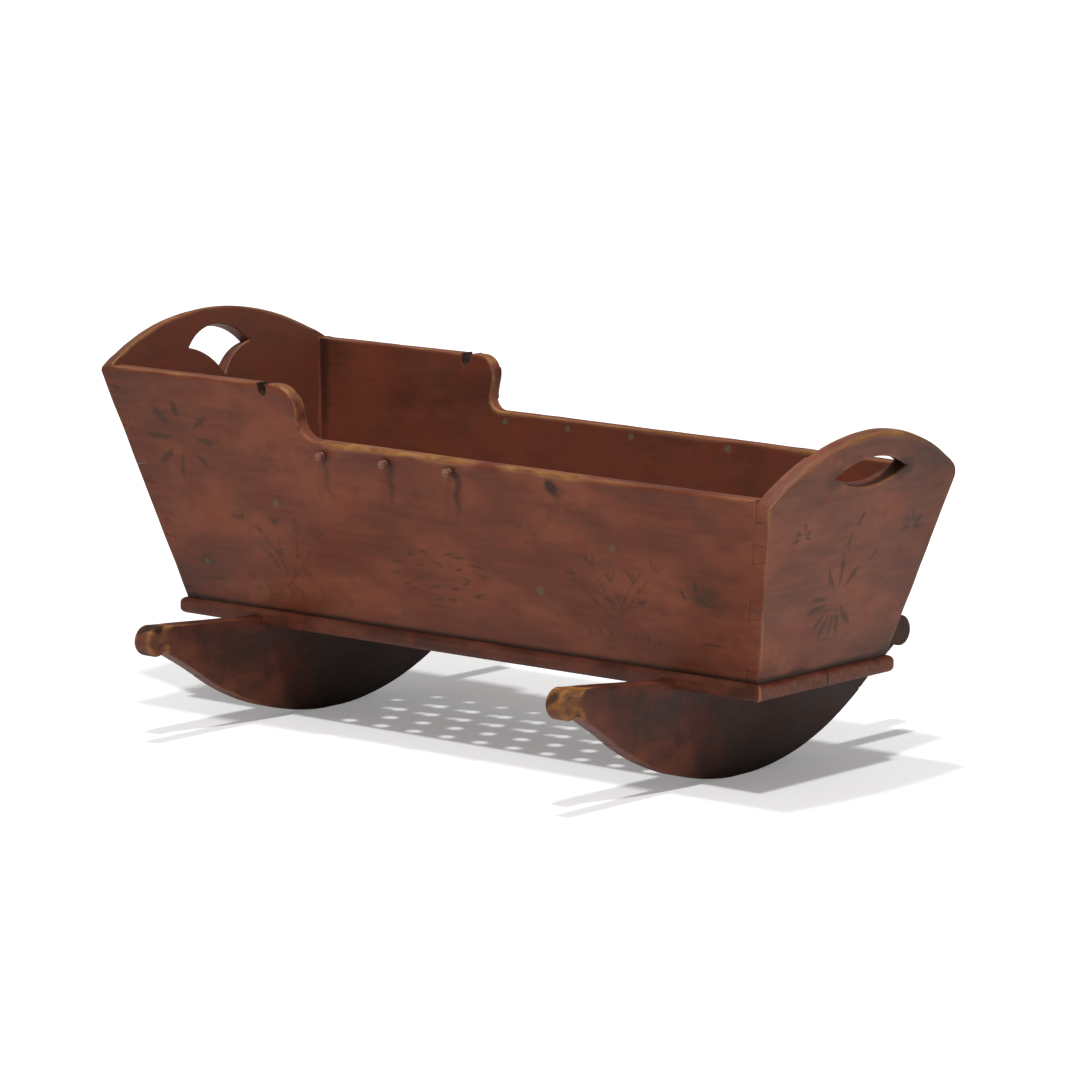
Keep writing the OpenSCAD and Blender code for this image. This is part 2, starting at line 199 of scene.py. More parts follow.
def face_normals(points, triangles):
    a, b, c = (points[triangles[:, i]] for i in range(3))
    normals = np.cross(b - a, c - a)
    return normals / np.maximum(np.linalg.norm(normals, axis=1, keepdims=True), TINY)


def point_normals(points, triangles):
    normals = np.repeat(face_normals(points, triangles), 3, axis=0)
    corner = triangles.ravel()
    total = np.stack([np.bincount(corner, normals[:, i], len(points)) for i in range(3)], 1)
    return total / np.maximum(np.linalg.norm(total, axis=1, keepdims=True), TINY)


def split_edges(points, triangles, wanted):
    """Splits every edge for which wanted(middle, length) is true, and keeps the mesh closed."""
    edges, of_face = mesh_edges(triangles)
    ends = points[edges]
    length = np.linalg.norm(ends[:, 0] - ends[:, 1], axis=1)
    middle = ends.mean(1)
    marked = wanted(middle, length)
    if not marked.any():
        return points, triangles, False
    longest = of_face[np.arange(len(of_face)), np.argmax(length[of_face], axis=1)]
    # A triangle that is cut is cut at its longest edge too, so that none grows thin
    for _ in range(LONGEST_ROUNDS):
        touched = marked[of_face].any(1)
        if marked[longest[touched]].all():
            break
        marked[longest[touched]] = True
    place = np.full(len(edges), -1)
    place[marked] = len(points) + np.arange(marked.sum())
    points = np.vstack([points, middle[marked]])
    mids = place[of_face]
    split = mids >= 0
    kept = [triangles[~split.any(1)]]
    for turn in range(3):
        order = [turn, (turn + 1) % 3, (turn + 2) % 3]
        t, m, s = triangles[:, order], mids[:, order], split[:, order]
        one = s[:, 0] & ~s[:, 1] & ~s[:, 2]
        a, b, c, ab = t[one, 0], t[one, 1], t[one, 2], m[one, 0]
        kept += [np.stack([a, ab, c], 1), np.stack([ab, b, c], 1)]
        two = s[:, 0] & s[:, 1] & ~s[:, 2]
        a, b, c, ab, bc = t[two, 0], t[two, 1], t[two, 2], m[two, 0], m[two, 1]
        kept += [np.stack([ab, b, bc], 1), np.stack([a, ab, bc], 1), np.stack([a, bc, c], 1)]
    three = split.all(1)
    a, b, c = (triangles[three, i] for i in range(3))
    ab, bc, ca = (mids[three, i] for i in range(3))
    kept += [np.stack([a, ab, ca], 1), np.stack([ab, b, bc], 1), np.stack([bc, c, ca], 1),
             np.stack([ab, bc, ca], 1)]
    return points, np.vstack(kept), True


# The open arrises of each piece

SHARP_TURN = math.cos(math.radians(30))
SAME_WAY = 0.8
COARSE = 16
CHUNK = 20000

solids = {}
for node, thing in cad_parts.items():
    low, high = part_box(node)
    tree = BVHTree.FromPolygons([v.co for v in thing.data.vertices],
                                [p.vertices[:] for p in thing.data.polygons])
    solids[node] = (np.array(low) - SLACK, np.array(high) + SLACK, tree)


def in_air(point, own):
    """True where a point lies in none of the other nodes' solids."""
    for node, (low, high, tree) in solids.items():
        if node == own or (point < low).any() or (point > high).any():
            continue
        near, normal, _, _ = tree.find_nearest(Vector(point))
        if near is not None and (Vector(point) - near).dot(normal) < 0:
            return False
    return True


class Arris:
    """A run of sharp outer edges, as close samples with the two faces' normals at each."""

    def __init__(self, place, along, first, second):
        self.place, self.along, self.first, self.second = place, along, first, second

    def nearest(self, points):
        """Index of the closest sample to each point, and its distance."""
        best, far = np.zeros(len(points), int), np.zeros(len(points))
        for start in range(0, len(points), CHUNK):
            part = points[start:start + CHUNK]
            gap = ((part[:, None, :] - self.place[None, ::COARSE, :]) ** 2).sum(2)
            window = gap.argmin(1)[:, None] * COARSE + np.arange(-COARSE, COARSE + 1)
            window = np.clip(window, 0, len(self.place) - 1)
            gap = ((part[:, None, :] - self.place[window]) ** 2).sum(2)
            pick = gap.argmin(1)
            row = np.arange(len(part))
            best[start:start + CHUNK] = window[row, pick]
            far[start:start + CHUNK] = np.sqrt(gap[row, pick])
        return best, far

    def close(self, points, reach):
        """Indices of the points in the run's box, grown by reach."""
        low, high = self.place.min(0) - reach, self.place.max(0) + reach
        return np.nonzero(((points > low) & (points < high)).all(1))[0]


def chain(points, edges, open_edges, n1, n2):
    """Gathers open sharp edges into runs that turn by less than about 37 degrees at a time."""
    at_point = {}
    for edge in open_edges:
        for p in edges[edge]:
            at_point.setdefault(int(p), []).append(edge)
    free, runs = set(open_edges), []
    while free:
        start = free.pop()
        run = [(start, n1[start], n2[start])]
        for side in (1, 0):
            here, (edge, a, b) = int(edges[start][side]), run[-1 if side else 0]
            while True:
                direction = points[here] - points[edges[edge]].mean(0)
                direction /= np.linalg.norm(direction)
                found = None
                for other in at_point[here]:
                    if other not in free:
                        continue
                    far = int(edges[other][0] + edges[other][1] - here)
                    step = points[far] - points[here]
                    step = step / np.linalg.norm(step)
                    swap = n1[other] @ a + n2[other] @ b < n1[other] @ b + n2[other] @ a
                    c, d = (n2[other], n1[other]) if swap else (n1[other], n2[other])
                    if min(step @ direction, c @ a, d @ b) > SAME_WAY:
                        found = (other, c, d, far)
                if found is None:
                    break
                edge, a, b, here = found
                free.discard(edge)
                run.insert(len(run) if side else 0, (edge, a, b))
        runs.append(run)
    return runs


def find_arrises(points, triangles, own, kept):
    """The convex sharp edges of a node that lie in the open, gathered into smooth runs."""
    edges, of_face = mesh_edges(triangles)
    order = np.argsort(of_face.ravel(), kind="stable")
    faces, owner = np.repeat(np.arange(len(triangles)), 3)[order], of_face.ravel()[order]
    first = np.searchsorted(owner, np.arange(len(edges)))
    paired = np.bincount(owner, minlength=len(edges)) == 2
    pairs = np.stack([faces[first], faces[np.minimum(first + 1, len(faces) - 1)]], 1)
    pairs[~paired] = 0
    normals = face_normals(points, triangles)
    n1, n2 = normals[pairs[:, 0]], normals[pairs[:, 1]]
    centre = points[triangles].mean(1)[pairs[:, 1]]
    convex = dots(centre - points[edges[:, 0]], n1) < -FLATNESS
    middles = points[edges].mean(1)
    open_edges = []
    for edge in np.nonzero((dots(n1, n2) < SHARP_TURN) & convex & kept(middles))[0]:
        a, b = PROBE * n1[edge], PROBE * n2[edge]
        if in_air(middles[edge] + a - b / 2, own) and in_air(middles[edge] + b - a / 2, own):
            open_edges.append(edge)
    arrises = []
    for run in chain(points, edges, open_edges, n1, n2):
        place, along, one, two = [], [], [], []
        for i, (edge, a, b) in enumerate(run):
            p, q = points[edges[edge]]
            ahead = middles[run[i + 1][0]] if i + 1 < len(run) else p + q - middles[run[i - 1][0]]
            if len(run) > 1 and np.linalg.norm(p - ahead) < np.linalg.norm(q - ahead):
                p, q = q, p
            length = np.linalg.norm(q - p)
            count = max(1, int(length / SAMPLE_STEP))
            for k in range(count):
                place.append(p + (q - p) * (k + 0.5) / count)
                along.append((q - p) / length)
                one.append(a)
                two.append(b)
        arris = Arris(*(np.array(v) for v in (place, along, one, two)))
        for name in ("along", "first", "second"):
            values = getattr(arris, name)
            smooth = values.copy()
            for shift in (1, 2):
                smooth[shift:] += values[:-shift]
                smooth[:-shift] += values[shift:]
            setattr(arris, name, smooth / np.linalg.norm(smooth, axis=1, keepdims=True))
        arrises.append(arris)
    return arrises


def box_corners(node):
    """The box's upright corners at a board, each one run that is the same for both its boards."""
    corners = []
    for side in SIDES:
        for end in ENDS:
            if node not in (side, end):
                continue
            one, two = board_of(side), board_of(end)
            along = np.cross(one.axes[2], two.axes[2])
            along /= along[2]
            foot = np.array([two.origin[0], one.origin[1], DECK])
            rise = np.arange(0, CORNER_TOPS[end] - DECK, SAMPLE_STEP)
            even = np.ones((len(rise), 1))
            corners.append(Arris(foot + rise[:, None] * along,
                                 even * along / np.linalg.norm(along),
                                 even * one.axes[2], even * two.axes[2]))
    return corners


# How far the arrises are worn round, as radii in metres

RAIL_WORN = 0.0050
LEVEL_WORN = 0.0036
OTHER_WORN = 0.0020
FOOT_WORN = 0.0010
GRIP_WORN = 0.0018
NOTCH_WORN = 0.0009
PLANK_WORN = 0.0014
ROCKER_WORN = 0.0022
SCROLL_MORE = 0.0014
CORNER_WORN = 0.0026
JOINT_WORN = 0.0012

# How far the rounding, the fine cuts and the rubbed paint reach, in radii of the arris

ROUND_REACH = 1.8
CUT_REACH = 1.5
WEAR_REACH = 2.6
FINE_CUT = 0.6
LEAST_CUT = 0.0006

# Where on a board each radius holds, in metres

FOOT_ZONE = 0.03
RAIL_ZONE = 0.15
GRIP_ZONE = 0.09
NOTCH_ZONE = 0.0085


def board_radius(board, arris):
    place = board.places(arris.place)
    is_side = abs(board.axes[0][0]) > 0.5
    level = np.abs(arris.along @ board.axes[1]) < 0.9
    across = np.abs(arris.along @ board.axes[2]) > 0.8
    size = np.where(level & ~across, LEVEL_WORN, OTHER_WORN)
    size = np.where(place[:, 1] < FOOT_ZONE, FOOT_WORN, size)
    outer_rail = level & (place[:, 2] > -0.005) & (place[:, 1] > RAIL_ZONE) & ~across
    size = np.where(outer_rail, RAIL_WORN, size)
    if not is_side and np.abs(place[:, 0]).max() < GRIP_ZONE:
        size = np.full(len(place), GRIP_WORN)
    in_notch = is_side & (np.abs(place[:, 0] - NOTCH_PLACE) < NOTCH_ZONE)
    size = np.where(in_notch, NOTCH_WORN, size)
    return size * (1 + 0.16 * waves(arris.place, 0.09, 11) + 0.08 * waves(arris.place, 0.03, 12))


def plank_radius(board, arris):
    return PLANK_WORN * (1 + 0.3 * waves(arris.place, 0.05, 13))


def rocker_radius(board, arris):
    out = np.abs(board.places(arris.place)[:, 0])
    scroll = ramp(out, SCROLL_OUT - 0.02, SCROLL_OUT + 0.01)
    uneven = 1 + 0.25 * waves(arris.place, 0.04, 14)
    return (ROCKER_WORN + SCROLL_MORE * scroll) * uneven


def corner_radius(corner):
    return CORNER_WORN * (1 + 0.3 * waves(corner.place, 0.05, 15))


def joint_narrowed(node, arris, radius):
    """The radius of an arris, which shrinks to the same size on both boards at their joint."""
    for other in neighbours(node):
        behind = -board_of(other).places(arris.place)[:, 2]
        away = ramp(behind, BOARD_THICK + 0.001, BOARD_THICK + 0.016)
        radius = away * radius + (1 - away) * np.minimum(radius, JOINT_WORN)
    return radius


def wear_round(points, arris, radius):
    """Rounds one arris: points outside the worn curve move onto it."""
    reach = ROUND_REACH * radius.max()
    some = arris.close(points, reach)
    if not len(some):
        return
    best, far = arris.nearest(points[some])
    some, best = some[far < reach], best[far < reach]
    e, t, n1, n2, r = (v[best] for v in (arris.place, arris.along, arris.first, arris.second,
                                         radius))
    lean = dots(n1, n2)[:, None]
    out = points[some] - (e - r[:, None] * (n1 + n2) / (1 + lean))
    out = out - dots(out, t)[:, None] * t
    size = np.linalg.norm(out, axis=1)
    inside = (dots(out, n1 - lean * n2) > 0) & (dots(out, n2 - lean * n1) > 0)
    beside = np.abs(dots(points[some] - e, t)) < 1.5 * SAMPLE_STEP
    moves = inside & beside & (size > r)
    points[some[moves]] += (out * (r / np.maximum(size, TINY) - 1)[:, None])[moves]


def worn(node, board, radius_of, kept, detail):
    """A node's triangles with its open arrises worn round, and the surface that they make."""
    points, triangles = cut_mesh(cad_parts[node].data, CUT_SPACING)
    corners = box_corners(node)
    arrises = [a for a in find_arrises(points, triangles, node, lambda p: kept(board.places(p)))
               if not any(c.nearest(a.place)[1].mean() < SAMPLE_STEP for c in corners)]
    radii = [joint_narrowed(node, a, radius_of(board, a)) for a in arrises]
    radii += [corner_radius(c) for c in corners]
    arrises += corners

    def wanted(middle, length):
        marked = length > SHORTEST
        marked[marked] = length[marked] > detail(Surface(node, board, middle[marked]))
        for arris, radius in zip(arrises, radii):
            reach = CUT_REACH * radius.max() + SLACK + CUT_SPACING / 2
            some = arris.close(middle, reach)
            if len(some):
                best, far = arris.nearest(middle[some])
                close = far < CUT_REACH * radius[best] + length[some] / 2
                marked[some] |= close & (length[some] > FINE_CUT * radius[best] + LEAST_CUT)
        return marked

    again = True
    while again:
        points, triangles, again = split_edges(points, triangles, wanted)
    near_edge = np.zeros(len(points))
    for arris, radius in zip(arrises, radii):
        some = arris.close(points, WEAR_REACH * radius.max())
        best, far = arris.nearest(points[some])
        near = 1 - far / (WEAR_REACH * radius[best])
        near_edge[some] = np.maximum(near_edge[some], near)
    facing = point_normals(points, triangles)
    for _ in range(2):
        for arris, radius in zip(arrises, radii):
            wear_round(points, arris, radius)
    return triangles, Surface(node, board, points, near_edge, facing)


# Painted ornament: each form gives 1 on its spine, 0 on its rim and less outside, in millimetres.

NOT_DRAWN = -9.0
MILLIMETRES = 1000


def leaf(u, v, root, tip, width, bend=0.0):
    span = np.subtract(tip, root)
    length = math.hypot(*span)
    part = ((u - root[0]) * span[0] + (v - root[1]) * span[1]) / length ** 2
    within = np.clip(part, 0, 1)
    off = ((u - root[0]) * span[1] - (v - root[1]) * span[0]) / length
    off = off - bend * np.sin(math.pi * within)
    half = 0.5 * width * np.sin(math.pi * (0.04 + 0.92 * within ** 1.2)) ** 0.6
    past = np.maximum(np.maximum(-part, part - 1), 0) * length
    return (half - np.abs(off) - past) / (0.5 * width)


def oval(u, v, centre, wide, high):
    """How far out a place lies in an oval: 0 at its centre and 1 on its rim."""
    return np.hypot((u - centre[0]) / wide, (v - centre[1]) / high)


def dot(u, v, centre, wide, high):
    return 1 - oval(u, v, centre, wide, high)


def fan(u, v, centre, angles, inner, outer, width, seed):
    """Leaves that stand out from a centre at the given angles, each a little off its place."""
    chance = np.random.default_rng(seed)
    best = np.full(len(u), NOT_DRAWN)
    for angle in np.radians(angles):
        angle += chance.uniform(-0.08, 0.08)
        way = np.array([math.cos(angle), math.sin(angle)])
        root = centre + way * inner * chance.uniform(0.9, 1.15)
        tip = centre + way * outer * chance.uniform(0.88, 1.08)
        best = np.maximum(best, leaf(u, v, root, tip, width * chance.uniform(0.85, 1.15),
                                     chance.uniform(-2.5, 2.5)))
    return best


def wreath(u, v, centre, wide, high, count, seed):
    """Short level strokes on an oval, with a few inside it."""
    chance = np.random.default_rng(seed)
    best = np.full(len(u), NOT_DRAWN)
    for i in range(count):
        turn = 2 * math.pi * i / count + chance.uniform(-0.1, 0.1)
        share = 1.0 if i % 3 else 0.55
        x = centre[0] + wide * share * math.cos(turn)
        y = centre[1] + high * share * math.sin(turn)
        half, tilt = chance.uniform(6, 13), chance.uniform(-3, 3)
        best = np.maximum(best, leaf(u, v, (x - half, y - tilt), (x + half, y + tilt),
                                     chance.uniform(3.5, 6), chance.uniform(-1.5, 1.5)))
    return best


STEM_LEANS = (-0.48, -0.26, -0.05, 0.2, 0.45)
TULIP_TURNS = (-0.6, 0.0, 0.6)
LOW_LEAVES = 7


def bouquet(u, v, centre, wide, high, seed):
    """Crossing stems with leaves and tulips above a row of low leaves."""
    chance = np.random.default_rng(seed)
    best = np.full(len(u), NOT_DRAWN)
    foot_u, foot_v = centre[0], centre[1] - 0.5 * high
    for lean in STEM_LEANS:
        tip = np.array([centre[0] + lean * wide, centre[1] + high * chance.uniform(0.18, 0.42)])
        root = np.array([foot_u - 0.3 * lean * wide, foot_v + 4])
        best = np.maximum(best, leaf(u, v, root, tip, 4.0, chance.uniform(-7, 7)))
        for turn in TULIP_TURNS:
            way = np.array([math.sin(lean + turn), math.cos(lean + turn)])
            best = np.maximum(best, leaf(u, v, tip - 3 * way, tip + way * chance.uniform(13, 20),
                                         6.5, chance.uniform(-2, 2)))
        middle = 0.45 * root + 0.55 * tip
        side = np.array([math.copysign(1, lean) * chance.uniform(14, 20), chance.uniform(2, 9)])
        best = np.maximum(best, leaf(u, v, middle, middle + side, 7.0, 2.0))
    for i in range(LOW_LEAVES):
        x = foot_u + wide * (i / (LOW_LEAVES - 1) - 0.5) * 0.8
        tip = (x + chance.uniform(-4, 4), foot_v + 12)
        best = np.maximum(best, leaf(u, v, (x, foot_v - 4), tip, 5.5))
    return best


EIGHT_WAYS = (96, 36, -4, -52, -98, -140, 176, 138)
PALMETTE_WAYS = (172, -164, -140, -118, -97, -72, -44, 128, 96, 52)
DROOPING_WAYS = (-20, 25, 90, 150, 205)
BOUQUET_STRENGTH = 0.6
SPRIG_STRENGTH = 0.7


def side_ornament(u, v):
    u, v = MILLIMETRES * u, MILLIMETRES * v
    flower = fan(u, v, (-387, 214), EIGHT_WAYS, 20, 55, 12, 41)
    bud = dot(u, v, (-385, 53), 14, 12)
    bouquets = BOUQUET_STRENGTH * np.maximum(bouquet(u, v, (-252, 74), 128, 104, 42),
                                             bouquet(u, v, (262, 80), 128, 98, 44))
    middle_wreath = wreath(u, v, (-4, 78), 70, 30, 22, 43)
    sprig = np.max([SPRIG_STRENGTH * dot(u, v, (390, 97), 26, 19),
                    leaf(u, v, (377, 90), (379, 122), 8), leaf(u, v, (392, 88), (403, 108), 7, 2),
                    leaf(u, v, (366, 88), (356, 106), 7, -2)], axis=0)
    ground = np.maximum(leaf(u, v, (368, 40), (404, 41), 5), leaf(u, v, (-408, 30), (-362, 32), 5))
    return np.max([flower, bud, bouquets, middle_wreath, sprig, ground], axis=0)


def side_pale(u, v):
    u, v = MILLIMETRES * u, MILLIMETRES * v
    return np.max([dot(u, v, (-251, 142), 7, 9), dot(u, v, (266, 144), 8, 8),
                   dot(u, v, (146, 78), 9, 9), dot(u, v, (-385, 53), 8, 6)], axis=0)


def end_ornament(u, v):
    u, v = MILLIMETRES * u, MILLIMETRES * v
    return np.max([
        fan(u, v, (-7, 88), PALMETTE_WAYS, 14, 54, 11, 51),
        fan(u, v, (-101, 176), DROOPING_WAYS, 4, 17, 8, 52),
        fan(u, v, (109, 165), DROOPING_WAYS, 5, 20, 8, 53),
        leaf(u, v, (-10, 150), (-4, 170), 8), leaf(u, v, (2, 174), (10, 194), 8),
        leaf(u, v, (38, 128), (54, 146), 8, 2)], axis=0)


def end_pale(u, v):
    return dot(MILLIMETRES * u, MILLIMETRES * v, (-101, 176), 4, 4)


# Dirt and painted shade, 0 to 1: streaks and painted shadows by the pegs, dark joints, darker lower
# parts, and painted shade at the boards' feet, in the notch and cove, and under the box

PEG_SHADE_SIZE = 0.0085
STREAK_STRENGTHS = (0.55, 0.62, 0.74, 0.3)
STREAK_LENGTH, STREAK_WIDTH = 0.085, 0.0075


def streak(u, v, top_u, top_v, seed):
    """A dark streak that starts at a place and fades downward."""
    wander = STREAK_WIDTH * (0.6 * np.sin(v * 60 + seed) + 0.3 * np.sin(v * 173 + 2 * seed))
    below = (top_v - v) / STREAK_LENGTH
    across = np.exp(-((u - top_u - wander) / STREAK_WIDTH) ** 2)
    return across * ramp(below, -0.03, 0.06) * ramp(below, 1, 0.35)


def side_dirt_and_shade(x):
    u, v = x.u, x.v
    # Outside: painted contact shade just above the base, a darkening towards the bottom and a darker
    # head end
    outside = 0.75 * ramp(v, 0.007, 0.001) + 0.34 * ramp(v, 0.08, 0.0)
    outside += 0.36 * ramp(u, -0.30, -0.46)
    for i, peg in enumerate(PEG_PLACES):
        # A painted shadow about each peg, set a little to its right, and a dark streak that fades
        # down below it
        peg_shade = np.exp(-(np.hypot(u - peg - 0.003, v - PEG_UP) / PEG_SHADE_SIZE) ** 2)
        outside += 0.7 * peg_shade + STREAK_STRENGTHS[i] * streak(u, v, peg + 0.004, PEG_UP, i)
    # A soft dark patch about the stub of the fourth near peg
    stub_patch = oval(u, v, (0.199, 0.207), 0.024, 0.010)
    outside += 0.5 * ramp(stub_patch, 1.4, 0.2)

    swell = 1 + 0.5 * waves(x.points, 0.11, 32)
    smudge = oval(u, v, (-0.30, 0.16), 0.045, 0.016)
    head_seam = ramp(x.from_head, 0.024, 0.008) * ramp(x.from_head, 0.0035, 0.0055)
    inside = 0.35 * ramp(v, 0.03, 0.0) + 0.34 * ramp(v, 0.17, 0.24) * swell
    inside += 0.55 * head_seam + 0.4 * ramp(smudge, 1.2, 0.4)

    # Painted shade: dark inside the notch, and in patches on the upright faces of the ear and cove
    notch = 0.9 * ramp(np.abs(u - NOTCH_PLACE), 0.010, 0.008) * ramp(v, 0.272, 0.276)
    cove = ramp(v, 0.226, 0.24) * ramp(u, COVE_START, COVE_FULL)
    edges = notch + 0.5 * cove * ramp(waves(x.points, 0.024, 33), 0.0, 1.0)
    within = np.where(x.outward < -0.5, inside, edges)
    return np.clip(np.where(x.outward > 0.5, outside, within), 0, 1)


def end_dirt_and_shade(x):
    # Painted contact shade along the foot of the board where it meets the base, and a darkening
    # towards the bottom
    low_part = ramp(x.v, 0.05, 0.0) * (1 + 0.5 * waves(x.points, 0.03, 34))
    dirt_and_shade = 0.8 * ramp(x.v, 0.010, 0.001) + 0.35 * low_part
    outside = 0.4 * ramp(x.u, 0.02, 0.15) + 0.15 * ramp(x.u, -0.08, -0.14)
    outside += 0.34 * ramp(x.v, 0.19, 0.26)
    if x.node == "footboard":
        hole_tip = oval(np.abs(x.u), x.v, (0.064, 0.238), 0.022, 0.016)
        outside += 0.4 * ramp(hole_tip, 1.3, 0.4)
    return np.clip(dirt_and_shade + np.where(x.outward > -0.5, outside, 0), 0, 1)


def rocker_dirt_and_shade(x):
    scroll = ramp(np.abs(x.u), SCROLL_OUT - 0.01, SCROLL_OUT + 0.01)
    smudge = ramp(waves(x.points, 0.026, 27), -0.1, 1.0)
    # Painted shadow of the box: the rocker darkens from its near end towards the far side, under the
    # base
    strength = 0.85 if x.node == "rocker_head" else 0.78
    painted_box_shadow = strength * ramp(x.u, -0.27, 0.08)
    return np.clip(0.9 * scroll * smudge + 0.3 * ramp(x.v, 0.02, 0.0) + painted_box_shadow, 0, 1)


def plank_dirt_and_shade(x):
    # Painted contact shade on the deck beside the box's foot, and a dark seam between the planks
    under_box = 0.5 * ramp(np.abs(x.v), 0.126, 0.122) * ramp(x.w, -0.004, 0.0)
    return np.maximum(under_box, ramp(np.abs(x.v), 0.0016, 0.0006))


# Wear: how much paint has gone, from 0 to 1 where the wood is bare

NEAR_RAIL_BARE = ((-0.160, 0.075), (0.112, 0.228))


def bare_lengths(u):
    """Where the near rail is rubbed down to the wood."""
    bare = np.zeros(len(u))
    for low, high in NEAR_RAIL_BARE:
        inside = ramp(u, low - 0.01, low + 0.02) * ramp(u, high + 0.02, high - 0.02)
        bare = np.maximum(bare, inside)
    return bare


def side_wear(x):
    rail, head_part = ramp(x.v, 0.17, 0.20), ramp(x.v, 0.236, 0.25)
    more = 0.30 if x.node == "side_far" else 0.08
    rub = 0.42 + 0.16 * waves(x.points, 0.07, 21) + more * rail * (1 - head_part)
    rub = rub - 0.06 * head_part
    bare = np.zeros(len(x.points))
    if x.node == "side_near":
        bare = bare_lengths(x.u) * ramp(x.v, 0.245, 0.235) * rail
    top = ramp(x.facing[:, 2], 0.6, 0.85) * rail
    top_wear = 0.10 + 0.30 * bare + 0.20 * head_part
    # Wear fades out beside the notch so that its painted shade stays dark
    beside_notch = ramp(np.abs(x.u - NOTCH_PLACE), 0.006, 0.011)
    fade = np.where(x.v > 0.26, beside_notch, 1)
    cove = head_part * (np.abs(x.outward) < 0.5) * ramp(x.u, COVE_START, COVE_FULL)
    seam = ramp(x.from_head, 0.0045, 0.0035) * ramp(x.outward, -0.7, -0.9)
    rubbed = (x.near_edge * (rub + 0.55 * bare) + top * top_wear) * fade
    return rubbed + 0.37 * seam + 0.22 * cove * (1 + 0.8 * waves(x.points, 0.025, 28))


def end_wear(x):
    top = ramp(x.facing[:, 2], 0.6, 0.85) * ramp(x.v, 0.18, 0.21)
    rubbed_part = ramp(x.u, -0.06, 0.04) if x.node == "footboard" else ramp(x.u, 0.02, -0.1)
    crown = ramp(x.v, 0.24, 0.28) * rubbed_part
    rub = 0.62 + 0.16 * waves(x.points, 0.06, 22)
    return x.near_edge * (rub + 0.14 * crown) + top * (0.16 + 0.22 * crown)


def plank_wear(x):
    underside = ramp(x.facing[:, 2], -0.7, -0.9)
    foot_end = ramp(x.facing[:, 0], 0.6, 0.9)
    edges = x.near_edge * (0.5 + 0.3 * waves(x.points, 0.2, 23))
    return edges + 0.3 * underside + 0.36 * foot_end


def rocker_wear(x):
    out = np.abs(x.u) + 0.004 * waves(x.points, 0.02, 25)
    scroll = ramp(out, SCROLL_OUT - 0.006, SCROLL_OUT + 0.014)
    neck = ramp(out, SCROLL_OUT - 0.008, SCROLL_OUT)
    neck = neck * ramp(out, SCROLL_OUT + 0.018, SCROLL_OUT + 0.006) * (x.u < 0)
    strength = np.where(x.u > 0, 0.34, 0.62 if x.node == "rocker_foot" else 0.34)
    running = ramp(x.facing[:, 2], -0.5, -0.9) * ramp(x.v, 0.05, 0.0)
    tops = ramp(x.facing[:, 2], 0.5, 0.9) * ramp(np.abs(x.u), 0.22, 0.30)
    patchy = 1 + 0.25 * waves(x.points, 0.02, 26)
    edges = x.near_edge * (0.42 + 0.2 * waves(x.points, 0.1, 24))
    return edges + (strength * scroll + 0.3 * neck + 0.28 * tops) * patchy + 0.25 * running


# Materials. Colours are written as they look in print, 0 to 255.

def tone(red, green, blue):
    linear = [(c / 255 / 12.92) if c < 11 else ((c / 255 + 0.055) / 1.055) ** 2.4
              for c in (red, green, blue)]
    return (*linear, 1.0)


def tones(*colours):
    return [tone(*colour) for colour in colours]


class Looks:
    """A material being built, with short names for the nodes that it needs."""

    def __init__(self, name):
        self.material = bpy.data.materials.new(name)
        self.material.use_nodes = True
        self.tree = self.material.node_tree
        self.shader = self.tree.nodes["Principled BSDF"]

    def put(self, socket, value):
        if isinstance(value, bpy.types.NodeSocket):
            self.tree.links.new(value, socket)
        else:
            socket.default_value = value

    def node(self, kind, settings, inputs):
        made = self.tree.nodes.new(kind)
        for name, value in settings.items():
            setattr(made, name, value)
        for key, value in inputs.items():
            self.put(made.inputs[key], value)
        return made

    def field(self, name, output="Fac"):
        return self.node("ShaderNodeAttribute", {"attribute_name": name}, {}).outputs[output]

    def noise(self, vector, scale, detail, rough):
        return self.node("ShaderNodeTexNoise", {}, {
            "Vector": vector, "Scale": scale, "Detail": detail, "Roughness": rough}).outputs["Fac"]

    def grain(self, vector, factors, detail, rough):
        """Noise with its own scale along each direction of a board."""
        scaled = self.node("ShaderNodeVectorMath", {"operation": "MULTIPLY"},
                           {0: vector, 1: factors}).outputs[0]
        return self.noise(scaled, 1.0, detail, rough)

    def math(self, operation, first, second):
        return self.node("ShaderNodeMath", {"operation": operation},
                         {0: first, 1: second}).outputs[0]

    def plus(self, value, other, amount):
        """A value with an amount of another added to it."""
        return self.math("ADD", value, self.math("MULTIPLY", other, amount))

    def step(self, value, low, high, start=0.0, end=1.0):
        return self.node("ShaderNodeMapRange", {"interpolation_type": "SMOOTHSTEP"}, {
            "Value": value, "From Min": low, "From Max": high,
            "To Min": start, "To Max": end}).outputs[0]

    def mix(self, share, first, second):
        return self.node("ShaderNodeMix", {"data_type": "RGBA"},
                         {0: share, 6: first, 7: second}).outputs[2]

    def layer(self, under, over, value, low, high, share=1.0):
        """A colour laid over another as a value rises from low to high, up to a share."""
        return self.mix(self.step(value, low, high, 0.0, share), under, over)

    def bump(self, height, strength, distance):
        return self.node("ShaderNodeBump", {}, {"Height": height, "Strength": strength,
                                                "Distance": distance}).outputs[0]

    def finish(self, colour, roughness, normal, specular):
        self.put(self.shader.inputs["Base Color"], colour)
        self.put(self.shader.inputs["Roughness"], roughness)
        self.put(self.shader.inputs["Normal"], normal)
        self.shader.inputs["Specular IOR Level"].default_value = specular
        return self.material


OCHRE, PALE_OCHRE, BROWN_WOOD = tones((146, 96, 50), (176, 126, 74), (100, 60, 34))
INK, PALE_INK, GRIME_AND_SHADE = tones((48, 40, 27), (92, 96, 76), (36, 25, 18))
BRICK, SMOKE = tones((120, 50, 32), (64, 46, 37))

# Each paint's colours: lightest, middle, darkest, inside the box, and worn thin

